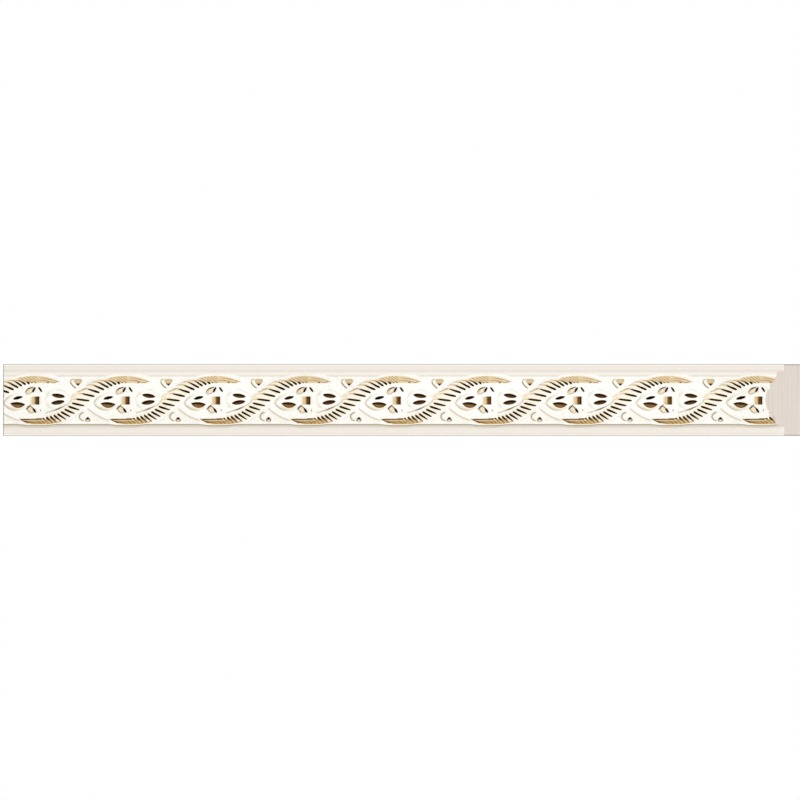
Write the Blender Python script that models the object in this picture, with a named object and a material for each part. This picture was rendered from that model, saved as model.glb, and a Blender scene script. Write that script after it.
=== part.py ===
"""A length of carved wall moulding: two flat borders and a convex middle with an interlaced ornament.

The back lies in the plane Y = 0, on the wall. The front faces -Y, X runs along the moulding and Z across it.
The left end is cut square. The right end is mitred at 45 degrees, longest at the back.
"""

import math

import bmesh
import bpy
from mathutils import Vector
from mathutils.geometry import delaunay_2d_cdt

MM = 0.001

# Driving sizes
LENGTH = 668.7 * MM
WIDTH = 60 * MM
REPEAT = 75.85 * MM
MEDALLION_AT = -2.7 * MM  # X of the medallion that lies nearest the middle of the length
EDGE_DEPTH = 13.4 * MM  # thickness of the flat borders
BAND_DEPTH = 20.1 * MM  # thickness where the carved band begins
CROWN_DEPTH = 29.2 * MM  # thickness on the centre line
BAND_HALF = 20 * MM
ARCH_BULGE = 1.1 * MM  # how far the band's edge gives way at each arch
ARCH_REACH = 13 * MM
ARCH_STEPS = 11  # straight pieces of the band's edge in one repeat
EDGE_ROUNDING = 0.8 * MM

# The two border profiles from the carved band outwards: distance from the centre line, thickness
TOP_SHOULDER = ((23 * MM, 19.7 * MM), (23.9 * MM, 18.4 * MM), (24.4 * MM, 16.2 * MM), (24.7 * MM, EDGE_DEPTH))
BOTTOM_SHOULDER = ((21.7 * MM, 18.2 * MM), (22.3 * MM, 15.8 * MM), (23 * MM, EDGE_DEPTH))

# The strands: a rising wave of two sines, and how far each side lies from it
WAVE = 17.8 * MM
WAVE_THIRD = 1.57 * MM
OUTER_AT_CROSSING, INNER_AT_CROSSING = 6.4 * MM, 8.6 * MM
OUTER_SIDE, INNER_SIDE = 4.5 * MM, 4.2 * MM
SWELL_REACH = 11 * MM  # how far from the crossing the strand narrows, on its outer side
INNER_SWELL_REACH = 17 * MM
EDGE_SLOPE = 0.8 * MM  # width of the small slope along an edge
STRAND_DROP = 0.3 * MM
GROUND_DROP = 1.5 * MM

# The ribs of a strand where it rises. The slots between them are numbered from the crossing.
FIRST_SLOT, LAST_SLOT = -8, 7
SLOT_START_BELOW, SLOT_START_ABOVE = 0.3 * MM, 0.8 * MM
SLOT_SPACING_BELOW = 3.6 * MM
SLOT_SPACING_ABOVE = 4.7 * MM
# How much closer the slots come, times their number squared, below and above the crossing
SLOT_GATHERING_BELOW, SLOT_GATHERING_ABOVE = 0.0125 * MM, 0.065 * MM
SLOT_SINK = 0.75 * MM  # how far a slot's middle lies below the strand's middle line
SLOT_SINK_ABOVE = 0.12 * MM  # more of it for each slot above the crossing
SLOT_WIDTH = 1.5 * MM
SLOT_DEPTH = 2.8 * MM
SLOT_HALF_LENGTH = 5.2 * MM
SLOT_SHORTENING = 0.3 * MM  # how much each half is shorter than the one before, either way from the crossing
LEAST_TILT = 7  # degrees, at the crossing
TILT_BELOW, TILT_ABOVE = 5.3, 5.2  # degrees more for each slot, below and above the crossing
MOST_TILT_BELOW, MOST_TILT_ABOVE = 43, 33
LAST_FULL_SLOT = 4  # above this one the slots run out into the crescent
RUN_OUT = 5  # how many slots that would take to the last
KEEL_SHARE = 0.6  # how much of a slot's length its sharp bottom line takes
RIB_RISE = 0.4 * MM

# The plain crescents, from the medallion's centre: X of the tip, Z of the straight side, X of its other end,
# and the power of the curved side
CRESCENTS = ((19.6 * MM, 14.9 * MM, -6.2 * MM, 2), (-15.0 * MM, -15.8 * MM, 6.0 * MM, 2.7))
CRESCENT_TOP = 20.3 * MM
CRESCENT_SLANT = 0.16  # how much further the curved rim goes than the straight edge
CRESCENT_WALL = 0.5 * MM
CRESCENT_DEPTHS = (2.2 * MM, 3.2 * MM, 3.6 * MM, 3.6 * MM, 2.5 * MM)  # along the inner edge, from the tip

# Leaves, from the medallion's centre: X and Z of the tip, length to the base, half width, share that shows
LEAVES = (
    (-26.6 * MM, -2.7 * MM, 19.5 * MM, 6.1 * MM, 0.82),
    (27.2 * MM, 0.9 * MM, -20.4 * MM, 6.7 * MM, 0.98),
)
LEAF_WIDEST = 0.55  # share of the leaf's length from its tip
LEAF_EASING = 0.8
LEAF_POINTS = 13

# Pits, slits and curls of the medallion, from its centre: X, Z, length, width, tilt in degrees
PIT_DEPTH = 4 * MM
CURL_DEPTH = 1.8 * MM
FLOOR_LENGTH, FLOOR_WIDTH = 0.58, 0.37  # share of a pit's length and width that its flat floor takes
SPINDLE_POINT = 1.35  # above 1 a spindle's ends are pointed
LEAF_PITS = (
    (-16.0 * MM, 1.8 * MM, 8.0 * MM, 2.8 * MM, 13),
    (-16.1 * MM, -4.2 * MM, 12.0 * MM, 4.9 * MM, -3),
    (17.9 * MM, 3.6 * MM, 10.8 * MM, 3.9 * MM, -7),
    (17.6 * MM, -2.0 * MM, 10.8 * MM, 4.1 * MM, 8),
)
KNOT_SLITS = (
    (-2.5 * MM, 8.6 * MM, 4.5 * MM, 1.8 * MM, 62),
    (2.8 * MM, 8.8 * MM, 4.8 * MM, 1.6 * MM, -54),
    (-2.0 * MM, -8.8 * MM, 4.4 * MM, 1.9 * MM, -57),
)
CURLS = (
    (-6.6 * MM, 7.4 * MM, 6.6 * MM, 4.2 * MM, 36),
    (-6.4 * MM, -7.8 * MM, 6.2 * MM, 4.2 * MM, -48),
)
HOLE_LEFT, HOLE_RIGHT = -4.3 * MM, 2.1 * MM
HOLE_LOW, HOLE_HIGH = -3.9 * MM, 3.1 * MM
HOLE_RAMP = 2.4 * MM  # the hole's floor slopes down over this width from its left side
HOLE_WALL = 0.4 * MM

# From each crossing: the corners of the bud's recess above and below it, and the strand's edge beside each bud
BUD_DEPTH = 2.2 * MM
BUD_FLOOR = 0.55
BUDS = (
    (
        (-5.6 * MM, 17.5 * MM),
        (-1.0 * MM, 17.5 * MM),
        (0.1 * MM, 15.8 * MM),
        (-3.2 * MM, 12.1 * MM),
        (-6.7 * MM, 15.8 * MM),
    ),
    (
        (3.5 * MM, -18.3 * MM),
        (4.8 * MM, -18.8 * MM),
        (6.1 * MM, -18.3 * MM),
        (6.9 * MM, -16.8 * MM),
        (4.8 * MM, -13.9 * MM),
        (2.7 * MM, -16.8 * MM),
    ),
)
BUD_STRANDS = (
    ((-11.4 * MM, 17.6 * MM), (-9.8 * MM, 15.3 * MM), (-6.6 * MM, 11.2 * MM), (-4.4 * MM, 9.0 * MM)),
    ((5.6 * MM, -6.9 * MM), (9.9 * MM, -9.6 * MM), (13.3 * MM, -13.4 * MM), (19.4 * MM, -16.5 * MM)),
)

# Points between the features, so that the facets follow the convex form
FILL_SPACING = 5.2 * MM
FILL_CLEARANCE = 2.6 * MM


def wave(x):
    """Height of a strand's middle line, x counted from the crossing where the strand rises."""
    angle = math.pi * x / REPEAT
    return WAVE * math.sin(angle) + WAVE_THIRD * math.sin(3 * angle)


def beside_wave(x, offset):
    """The point at a distance to the left of the middle line, seen along +X."""
    angle = math.pi * x / REPEAT
    slope = math.pi / REPEAT * (WAVE * math.cos(angle) + 3 * WAVE_THIRD * math.cos(3 * angle))
    length = math.hypot(1, slope)
    return x - offset * slope / length, wave(x) + offset / length


def outer_side(x):
    """Distance of the strand's outer edge: a little wider at the crossing than along the arch."""
    return OUTER_SIDE + (OUTER_AT_CROSSING - OUTER_SIDE) * math.exp(-((x / SWELL_REACH) ** 2))


def crescent_rim(x, tip, straight, power):
    """Z of a crescent's curved side: it falls as a power of X and meets the straight side at the tip."""
    side = math.copysign(1, straight)
    return side * (CRESCENT_TOP - (CRESCENT_TOP - abs(straight)) * abs(x / tip) ** power)


def leaf_swell(share):
    """Width of a leaf as a share of its greatest: an eased sine from the tip, then a quarter ellipse."""
    if share < LEAF_WIDEST:
        return math.sin(math.pi / 2 * (share / LEAF_WIDEST) ** LEAF_EASING)
    return math.sqrt(max(1 - ((share - LEAF_WIDEST) / (1 - LEAF_WIDEST)) ** 2, 0))


def inner_side(x):
    """Distance of the strand's inner edge, along the medallion."""
    return INNER_SIDE + (INNER_AT_CROSSING - INNER_SIDE) * math.exp(-((x / INNER_SWELL_REACH) ** 2))


def slot_place(number):
    """X and Z of a slot's middle, from the crossing. It lies a little below the strand's middle line."""
    x = SLOT_START_BELOW + number * SLOT_SPACING_BELOW + number**2 * SLOT_GATHERING_BELOW
    if number >= 0:
        x = SLOT_START_ABOVE + number * SLOT_SPACING_ABOVE - number**2 * SLOT_GATHERING_ABOVE
    return x, wave(x) - SLOT_SINK - max(number, 0) * SLOT_SINK_ABOVE


def slot_tilt(number):
    """The slots fall to the right, the more the further they are from the crossing, up to a limit."""
    if number > 0:
        return -math.radians(min(LEAST_TILT + number * TILT_ABOVE, MOST_TILT_ABOVE))
    return -math.radians(min(LEAST_TILT - number * TILT_BELOW, MOST_TILT_BELOW))


def crown(z):
    """Thickness of the convex middle: a parabola over the width of the band."""
    return CROWN_DEPTH - (CROWN_DEPTH - BAND_DEPTH) * (z / BAND_HALF) ** 2


def band_edge(x):
    """Where the carved band ends, x counted from a medallion."""
    from_arch = x - REPEAT * round(x / REPEAT)
    return BAND_HALF + ARCH_BULGE * math.exp(-((from_arch / ARCH_REACH) ** 4))


def steps(start, end, count):
    """Evenly spaced numbers from start to end."""
    return [start + (end - start) * i / (count - 1) for i in range(count)]


def spindle(middle, length, width, tilt, sides):
    """A pointed oval of a number of sides, its long axis turned by tilt."""
    outline = []
    for i in range(sides):
        angle = 2 * math.pi * i / sides
        along = length / 2 * math.cos(angle)
        across = width / 2 * math.copysign(abs(math.sin(angle)) ** SPINDLE_POINT, math.sin(angle))
        x = middle[0] + along * math.cos(tilt) - across * math.sin(tilt)
        z = middle[1] + along * math.sin(tilt) + across * math.cos(tilt)
        outline.append((x, z))
    return outline


def along_axis(middle, half, tilt):
    """The two ends of a straight line through middle."""
    return [(middle[0] + s * half * math.cos(tilt), middle[1] + s * half * math.sin(tilt)) for s in (-1, 1)]


def rectangle(left, right, low, high):
    return [(left, low), (right, low), (right, high), (left, high)]


def inside(point, outline):
    """Whether a point lies in a closed outline: a line from it crosses the outline an odd number of times."""
    crossings = 0
    x, z = point
    for (x0, z0), (x1, z1) in zip(outline, outline[1:] + outline[:1]):
        if (z0 > z) != (z1 > z) and x < x0 + (x1 - x0) * (z - z0) / (z1 - z0):
            crossings += 1
    return crossings % 2 == 1


class Plan:
    """The moulding seen from the front: points with their thickness, and lines that no face crosses."""

    def __init__(self):
        self.points = []
        self.thickness = []
        self.lines = []

    def line(self, points, closed=False):
        """Adds a line through (x, z, thickness) points."""
        first = len(self.points)
        for x, z, thickness in points:
            self.points.append(Vector((x, z)))
            self.thickness.append(thickness)
        count = len(points)
        self.lines += [(first + i, first + i + 1) for i in range(count - 1)]
        if closed:
            self.lines.append((first + count - 1, first))

    def mesh(self, name):
        """The front surface as a mesh: a triangulation that keeps every line."""
        merged_within = 0.001 * MM
        points, _, faces, origins, _, _ = delaunay_2d_cdt(self.points, self.lines, [], 0, merged_within)
        corners = []
        for point, origin in zip(points, origins):
            thickness = self.thickness[origin[0]] if origin else crown(point.y) - STRAND_DROP
            corners.append((point.x, -thickness, point.y))
        mesh = bpy.data.meshes.new(name)
        mesh.from_pydata(corners, [], faces)
        return mesh


class Carving:
    """The lines of one repeat, placed from its crossing. Its medallion lies half a repeat on."""

    def __init__(self):
        self.strokes = []
        self.sunk = []

    def stroke(self, points, drop, closed=False, centre=0.0):
        """Adds a line of (x, z) points, sunk by drop below the crown. drop may differ from point to point."""
        drops = drop if isinstance(drop, list) else [drop] * len(points)
        placed = [(centre + x, z) for x, z in points]
        self.strokes.append((placed, drops, closed))
        return placed

    def pit(self, outline, floor, depth, centre=0.0, floor_closed=True):
        """Adds a sunken place: its edge, and its floor as a loop or as the bottom line of a groove."""
        self.sunk.append(self.stroke(outline, STRAND_DROP, True, centre))
        self.stroke(floor, depth, floor_closed, centre)

    def step(self, points, foot):
        """Adds an edge: its upper line, and its foot on the ground beside it."""
        self.stroke(points, STRAND_DROP)
        self.stroke(foot, GROUND_DROP)

    def is_free(self, x, z, taken):
        """Whether this point is clear of lines and sunken places, in this repeat and its neighbours."""
        for shift in (-REPEAT, 0, REPEAT):
            place = (x + shift, z)
            if min(math.dist(place, point) for point in taken) < FILL_CLEARANCE:
                return False
            if any(inside(place, outline) for outline in self.sunk):
                return False
        return True

    def fill(self):
        """Adds points on a staggered grid where there is room between the lines."""
        taken = [point for points, _, _ in self.strokes for point in points]
        columns = round(REPEAT / FILL_SPACING)
        rows = int(BAND_HALF / FILL_SPACING)
        for row in range(-rows, rows + 1):
            for column in range(columns):
                x = (column + 0.5 * (row % 2)) * REPEAT / columns
                z = row * FILL_SPACING
                if self.is_free(x, z, taken):
                    self.stroke([(x, z)], STRAND_DROP)

    def add_to(self, plan, crossing):
        for points, drops, closed in self.strokes:
            plan.line([(crossing + x, z, crown(z) - drop) for (x, z), drop in zip(points, drops)], closed)


def carve_ribs(carving):
    """The slots between the ribs, as grooves with a sharp bottom, and the ribs' backs between them."""
    for number in range(FIRST_SLOT, LAST_SLOT + 1):
        tilt = slot_tilt(number)
        half = SLOT_HALF_LENGTH - SLOT_SHORTENING * abs(number)
        half *= 1 - max(number - LAST_FULL_SLOT, 0) / RUN_OUT
        outline = spindle(slot_place(number), 2 * half, SLOT_WIDTH, tilt, 6)
        keel = along_axis(slot_place(number), KEEL_SHARE * half, tilt)
        carving.pit(outline, keel, SLOT_DEPTH, floor_closed=False)
        if number < LAST_SLOT:
            back = along_axis(slot_place(number + 0.5), KEEL_SHARE * half, slot_tilt(number + 0.5))
            carving.stroke(back, -RIB_RISE)


def carve_crescents(carving):
    """The two crescents, each a slope that falls from its curved rim to its straight inner edge."""
    for tip, straight, end, power in CRESCENTS:
        wall = math.copysign(CRESCENT_WALL, straight)
        far = end + CRESCENT_SLANT * (end - tip)
        places = steps(tip, end, 6)
        inner = [(x, straight) for x in places]
        outer = [(x, crescent_rim(x, tip, straight, power)) for x in steps(tip, far, 7)[1:]]
        floor = [(x, straight + wall) for x in places[1:]]
        carving.pit(inner + outer[::-1], floor, list(CRESCENT_DEPTHS), REPEAT / 2, floor_closed=False)


def carve_strands(carving):
    """The ribbed strand's outer edges by its crossing, and both strands' inner edges round the medallion."""
    near = steps(-1 * MM, 15 * MM, 4)
    around = steps(15 * MM, 62 * MM, 9)
    outer_edge = [beside_wave(x, outer_side(x)) for x in near]
    outer_foot = [beside_wave(x, outer_side(x) + EDGE_SLOPE) for x in near]
    inner_edge = [beside_wave(x, -inner_side(x)) for x in around]
    inner_foot = [beside_wave(x, -inner_side(x) - EDGE_SLOPE) for x in around]
    carving.step(outer_edge, outer_foot)
    carving.step([(-x, -z) for x, z in outer_edge], [(-x, -z) for x, z in outer_foot])
    carving.step(inner_edge, inner_foot)
    carving.step([(REPEAT - x, -z) for x, z in inner_edge], [(REPEAT - x, -z) for x, z in inner_foot])


def carve_leaves(carving):
    """The two pierced leaves that point away from the knot. Each has a sunk line around it."""
    for tip_x, tip_z, length, half_width, shown in LEAVES:
        for outset, drop in ((0, STRAND_DROP), (EDGE_SLOPE, GROUND_DROP)):
            edge = []
            for turn in steps(-1, 1, LEAF_POINTS):
                share = shown * abs(turn)
                swell = leaf_swell(share)
                x = tip_x + length * share - math.copysign(outset * (1 - swell), length)
                z = tip_z * (1 - share) + math.copysign((half_width + outset) * swell, turn)
                edge.append((x, z))
            carving.stroke(edge, drop, centre=REPEAT / 2)
    for x, z, length, width, tilt in LEAF_PITS:
        lean = math.radians(tilt)
        outline = spindle((x, z), length, width, lean, 10)
        floor = spindle((x, z), FLOOR_LENGTH * length, FLOOR_WIDTH * width, lean, 4)
        carving.pit(outline, floor, PIT_DEPTH, REPEAT / 2)


def carve_knot(carving):
    """The knot between the leaves: a square hole, three slits and two curls."""
    for x, z, length, width, tilt in KNOT_SLITS:
        lean = math.radians(tilt)
        outline = spindle((x, z), length, width, lean, 6)
        keel = along_axis((x, z), KEEL_SHARE * length / 2, lean)
        carving.pit(outline, keel, SLOT_DEPTH, REPEAT / 2, floor_closed=False)
    for x, z, length, width, tilt in CURLS:
        lean = math.radians(tilt)
        outline = spindle((x, z), length, width, lean, 8)
        floor = spindle((x, z), FLOOR_LENGTH * length, FLOOR_WIDTH * width, lean, 4)
        carving.pit(outline, floor, CURL_DEPTH, REPEAT / 2)
    outline = rectangle(HOLE_LEFT, HOLE_RIGHT, HOLE_LOW, HOLE_HIGH)
    floor = rectangle(HOLE_LEFT + HOLE_RAMP, HOLE_RIGHT - HOLE_WALL, HOLE_LOW + HOLE_WALL, HOLE_HIGH - HOLE_WALL)
    carving.pit(outline, floor, PIT_DEPTH, REPEAT / 2)


def carve_corners(carving):
    """A recessed bud with one point above and below each crossing, and the strand's edge that passes it."""
    for bud, edge in zip(BUDS, BUD_STRANDS):
        middle_x = sum(x for x, _ in bud) / len(bud)
        middle_z = sum(z for _, z in bud) / len(bud)
        kept = 1 - BUD_FLOOR
        floor = [(BUD_FLOOR * x + kept * middle_x, BUD_FLOOR * z + kept * middle_z) for x, z in bud]
        carving.pit(list(bud), floor, BUD_DEPTH)
        aside = math.copysign(EDGE_SLOPE, middle_z) / math.sqrt(2)
        carving.step(list(edge), [(x + aside, z + aside) for x, z in edge])


def add_borders(plan, start, end):
    """The straight lines of both borders, from the band's edge to the rounded outer edges."""
    half = WIDTH / 2
    rounding = (
        (half - EDGE_ROUNDING, EDGE_DEPTH),
        (half - 0.3 * EDGE_ROUNDING, EDGE_DEPTH - 0.3 * EDGE_ROUNDING),
        (half, EDGE_DEPTH - EDGE_ROUNDING),
    )
    count = 1 + round((end - start) / REPEAT * ARCH_STEPS)
    for side, shoulder in ((1, TOP_SHOULDER), (-1, BOTTOM_SHOULDER)):
        for z, thickness in shoulder + rounding:
            plan.line([(start, side * z, thickness), (end, side * z, thickness)])
        plan.line([(x, side * band_edge(x - MEDALLION_AT), BAND_DEPTH) for x in steps(start, end, count)])


def closed_body(mesh):
    """Carries the outline of the front surface back to the wall and closes it there."""
    bm = bmesh.new()
    bm.from_mesh(mesh)
    rim = [edge for edge in bm.edges if edge.is_boundary]
    made = bmesh.ops.extrude_edge_only(bm, edges=rim)["geom"]
    back = [item for item in made if isinstance(item, bmesh.types.BMVert)]
    for vert in back:
        vert.co.y = 0
    bmesh.ops.edgeloop_fill(bm, edges=[edge for edge in bm.edges if edge.is_boundary])
    bmesh.ops.recalc_face_normals(bm, faces=bm.faces[:])
    bm.to_mesh(mesh)
    bm.free()


def painted_plastic():
    material = bpy.data.materials.new("white painted foamed polystyrene")
    material.use_nodes = True
    shader = material.node_tree.nodes["Principled BSDF"]
    shader.inputs["Base Color"].default_value = (0.87, 0.83, 0.76, 1)
    shader.inputs["Roughness"].default_value = 0.45
    shader.inputs["Metallic"].default_value = 0
    return material


def end_cutter(name, corner, turned, collection):
    """A large block that removes what lies past one end. Its near face passes through corner."""
    size = 4 * WIDTH
    bm = bmesh.new()
    bmesh.ops.create_cube(bm, size=size)
    bmesh.ops.translate(bm, verts=bm.verts, vec=(size / 2, 0, 0))
    mesh = bpy.data.meshes.new(name)
    bm.to_mesh(mesh)
    bm.free()
    cutter = bpy.data.objects.new(name, mesh)
    cutter.location = corner
    cutter.rotation_euler.z = turned
    cutter.hide_render = True
    cutter.display_type = "WIRE"
    collection.objects.link(cutter)
    return cutter


def add_moulding(collection, cutters):
    """The whole moulding, modelled a little over length and then cut at both ends."""
    carving = Carving()
    carve_ribs(carving)
    carve_crescents(carving)
    carve_strands(carving)
    carve_leaves(carving)
    carve_knot(carving)
    carve_corners(carving)
    carving.fill()
    repeats_each_side = math.ceil(LENGTH / 2 / REPEAT) + 1
    end = (repeats_each_side + 0.5) * REPEAT
    plan = Plan()
    add_borders(plan, -end, end)
    for number in range(-repeats_each_side, repeats_each_side):
        carving.add_to(plan, MEDALLION_AT + (number + 0.5) * REPEAT)
    mesh = plan.mesh("moulding")
    closed_body(mesh)
    mesh.materials.append(painted_plastic())
    moulding = bpy.data.objects.new("moulding", mesh)
    collection.objects.link(moulding)
    ends = (
        end_cutter("square_end_cutter", (-LENGTH / 2, 0, 0), math.pi, cutters),
        end_cutter("mitre_cutter", (LENGTH / 2, 0, 0), -math.pi / 4, cutters),
    )
    for cutter in ends:
        cut = moulding.modifiers.new(cutter.name, "BOOLEAN")
        cut.operation = "DIFFERENCE"
        cut.object = cutter
        cut.solver = "EXACT"


def main():
    for obj in list(bpy.data.objects):
        bpy.data.objects.remove(obj)
    collection = bpy.data.collections.new("wall moulding")
    cutters = bpy.data.collections.new("cutters")
    bpy.context.scene.collection.children.link(collection)
    bpy.context.scene.collection.children.link(cutters)
    add_moulding(collection, cutters)


main()
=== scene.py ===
"""Finished surface of a carved wall moulding: white satin paint and a golden patina on foamed polystyrene,
with shade painted in.

The ornament repeats. Its places are counted in millimetres, either from a crossing of the two strands, or
from a medallion, which lies half a repeat from a crossing. X runs along the moulding, Z across it, and the
front faces -Y.
"""

import math

import bmesh
import bpy
import numpy as np
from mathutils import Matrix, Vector


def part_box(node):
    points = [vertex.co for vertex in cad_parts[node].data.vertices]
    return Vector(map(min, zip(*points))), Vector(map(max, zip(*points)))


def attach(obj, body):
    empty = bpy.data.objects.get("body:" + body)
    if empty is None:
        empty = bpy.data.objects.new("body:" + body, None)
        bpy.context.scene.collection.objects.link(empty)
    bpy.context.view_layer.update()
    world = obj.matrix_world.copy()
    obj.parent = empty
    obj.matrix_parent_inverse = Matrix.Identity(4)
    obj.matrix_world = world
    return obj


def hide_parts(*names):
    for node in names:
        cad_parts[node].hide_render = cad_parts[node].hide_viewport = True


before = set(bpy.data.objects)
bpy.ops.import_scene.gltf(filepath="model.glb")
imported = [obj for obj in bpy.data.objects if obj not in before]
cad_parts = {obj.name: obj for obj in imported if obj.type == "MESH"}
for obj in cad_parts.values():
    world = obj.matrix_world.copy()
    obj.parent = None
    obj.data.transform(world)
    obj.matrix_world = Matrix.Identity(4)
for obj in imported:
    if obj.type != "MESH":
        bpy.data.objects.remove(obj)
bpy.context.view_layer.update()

MM = 0.001

# Overall sizes, from the frame
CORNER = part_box("moulding")[1]
HALF_LENGTH = CORNER.x / MM
HALF_WIDTH = CORNER.z / MM

# Profile across the moulding
EDGE_DEPTH = 13.4
BAND_DEPTH = 20.1
CROWN_DEPTH = 29.2
BAND_HALF = 20.0
ARCH_BULGE, ARCH_REACH = 1.1, 13.0
BAND_FLANK = 2.6
OVOLO_START, OVOLO_END = 22.2, 24.7
OVOLO_LIP = 0.3  # how much lower than the band's edge the ovolo begins
STEP_START, STEP_END = 20.2, 22.8
ARRIS, ARRIS_ROWS = 0.8, 6
BACK_ARRIS = 0.3

# The ornament
REPEAT = 75.85
MEDALLION_AT = -2.7
WAVE = 17.8
WAVE_THIRD = 1.57
OUTER_AT_CROSSING, INNER_AT_CROSSING = 6.4, 8.6
OUTER_SIDE, INNER_SIDE = 4.5, 4.2
SMOOTH_OUTER_SIDE = 2.2
BEHIND_SIDE = 6.5  # half width of the strands' smooth stretches, on the outer side
SWELL_REACH = 11.0
INNER_SWELL_REACH = 17.0
RIBBED_REACH = 24.0  # the ribbed strand lies on top this far either way from the crossing
UNDERPASS_DROP, UNDERPASS_REACH = 1.1, 13.0
STRAND_DROP = 0.2
GROUND_DROP = 1.5
NOT_THERE = 40.0  # depth of a form where it isn't made
KNOT_RADIUS, KNOT_WIDTH, KNOT_HEIGHT = 9.5, 0.95, 1.35
# The strand's edge beside the upper bud, from the crossing: X and Z of its start, slope and bend
BESIDE_BUD = (-3.6, 6.9, 0.33, 0.012)

# Slots between the ribs
SLOTS = np.arange(-8, 8)
RIB_LINES = np.arange(-15, 14)
SLOT_START_BELOW, SLOT_START_ABOVE = 0.3, 0.8
SLOT_SPACING_BELOW = 3.6
SLOT_SPACING_ABOVE = 4.7
SLOT_GATHERING_BELOW, SLOT_GATHERING_ABOVE = 0.0125, 0.065
SLOT_SINK, SLOT_SINK_ABOVE = 0.75, 0.12
SLOT_WIDTH = 1.4
SLOT_DEPTH = 3.0
SLOT_FULLNESS, SLOT_STEEPNESS = 0.3, 0.45  # powers: low ones give blunt ends and steep walls
SLOT_HALF_LENGTH = 5.4
SLOT_SHORTENING = 0.3
SLOT_FLARE = 0.28
# The slots' black is dark patina with painted shade of their depth
BLACK_MARGIN, BLACK_FULLNESS = 0.35, 0.25  # how much wider than the slot its black is
RIB_RISE = 0.35
LEAST_TILT = 7.0
TILT_BELOW, TILT_ABOVE = 5.3, 5.2
MOST_TILT_BELOW, MOST_TILT_ABOVE = 43.0, 33.0
LAST_FULL_SLOT = 4
RUN_OUT = 5
TAIL_SLOTS = 7
FIRST_STROKED_TAIL = 4
TAIL_LENGTH, TAIL_WIDTH, TAIL_BEND, TAIL_DEPTH = 9.0, 0.9, 0.066, 0.5
FIRST_BROWN_SLOT = -4
BROWN_PER_SLOT = 0.12

# Crescents, from the medallion: X of the tip, Z of the straight side, X of its other end, X of the highest
# point, how fast the curved side falls towards the tip and towards the ribs, and the power of the first
CRESCENTS = ((20.6, 14.8, -7.5, -1.0, 0.0118, 0.0080, 2.0), (-14.8, -15.9, 6.5, 2.0, 0.0023, 0.0068, 2.7))
CRESCENT_TOP = 20.4
CRESCENT_DEPTH = 3.6
FINE_RIB_HEIGHT = 0.25
FINE_STREAK_PITCH = 1.9
CRESCENT_TEETH = ((5.8, -15.7), (9.0, -15.3))

# Leaves, from the medallion: X and Z of the tip, length to the base, half width, share that shows
LEAVES = ((-27.6, -2.8, 21.0, 6.4, 0.84), (28.4, 1.0, -21.6, 7.2, 1.0))
LEAF_WIDEST = 0.55
LEAF_EASING = 0.8
LEAF_CREST = 0.8  # rounds the leaf's tip, and is the share by which its edge's distance is flattened
LEAF_ROUNDING, LEAF_LIP = 2.4, 0.6

# Pits, from the medallion: X, Z, length, reach above and below, tilt in degrees, patina with painted shade,
# how much lighter the lit lower side is painted, and how sharp its ends are
PIT_DEPTH = 4.0
LEAF_PITS = (
    (-16.0, 1.75, 8.2, 1.45, 1.3, 14.0, 1.0, 0.0, 0.62),
    (-16.1, -3.3, 12.2, 1.6, 3.5, -4.0, 1.0, 0.46, 0.8),
    (18.0, 3.6, 11.0, 1.8, 2.0, -8.0, 0.97, 0.26, 0.62),
    (17.6, -1.9, 11.2, 1.8, 2.1, 8.5, 0.97, 0.26, 0.62),
)
# Slits and dark lines, from the medallion: X, Z, length, width, tilt in degrees, patina with painted shade
SLITS = (
    (-2.5, 8.6, 4.9, 1.9, 62.0, 1.0),
    (2.8, 8.8, 5.1, 1.7, -54.0, 1.0),
    (-2.0, -8.8, 4.6, 1.9, -57.0, 1.0),
    (-7.1, -5.9, 6.2, 0.8, 45.0, 0.84),
    (-5.3, 10.1, 5.4, 0.8, 19.0, 0.8),
    (3.0, -8.7, 1.6, 0.7, 90.0, 0.4),
)
# Hollow curls, from the medallion: X, Z, length, width, tilt in degrees
CURLS = ((-6.3, 7.6, 8.2, 5.2, 36.0), (-5.4, -8.0, 7.6, 5.6, -48.0))
CURL_DEPTH = 1.3
HOLE_LEFT, HOLE_RIGHT, HOLE_LOW, HOLE_HIGH = -4.2, 2.2, -4.0, 3.1
HOLE_LEAST_DEPTH, HOLE_FALL = 0.8, 3.4
# Recesses of the buds, from the crossing: X, Z of the base, height, half width, Z and radius of the rounding
BUDS = ((-3.4, 17.7, -5.8, 4.1, 15.1, 3.6), (4.8, -19.0, 5.0, 3.0, -16.6, 2.15))
BUD_DEPTH = 2.2
SHIELD_FULLNESS = 1.7
# Edges of the buds, as arcs: X, Z, radius along X and along Z, from and to which Z, X of the end, painted
# shade along the edge
BUD_ARCS = (
    (-0.5, 18.9, 10.1, 10.1, 8.0, 15.0, -5.0, 0.72),
    (-7.4, 15.2, 2.4, 2.4, 15.0, 18.0, -7.0, 0.36),
    (2.4, -14.0, 4.7, 3.6, -18.0, -10.0, 1.8, 0.5),
)
# The gap under the right leaf, from the medallion
GAP_TIP = (29.2, 1.0)
GAP_LENGTH, GAP_DROP, GAP_POWER = 22.0, 11.9, 0.53

# Mesh of the carving
CELL = 0.26
FINE_HALF = 25.2  # the rows stand a cell apart up to this Z
TRIANGLES = 190000
PATTERN_RELIEF = 1.5
SETTLED_HALF = 25.0
END_MARGIN = 2  # how far the uncut surface runs on past either end
TOUCH = 0.01
PAINTED, SAWN, EXTRUDED = 0, 1, 2  # places of the three finishes on the piece
# Both shoulders meet the flat borders in a hard crease
CREASED_FROM = 22.4
CREASE_ANGLE = 30

# Sizes of the patterns in the finishes: patches and orange peel of the paint, cells and streaks of the foam
BLOTCH, DRIFT, ORANGE_PEEL = 1.7, 60.0, 0.9
FOAM_CELL, SAW_STREAK, DIE_STREAK = 0.5, 1.6, 1.5
STREAK_SHARE = 0.02  # how much of a streak's length counts beside its width


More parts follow.
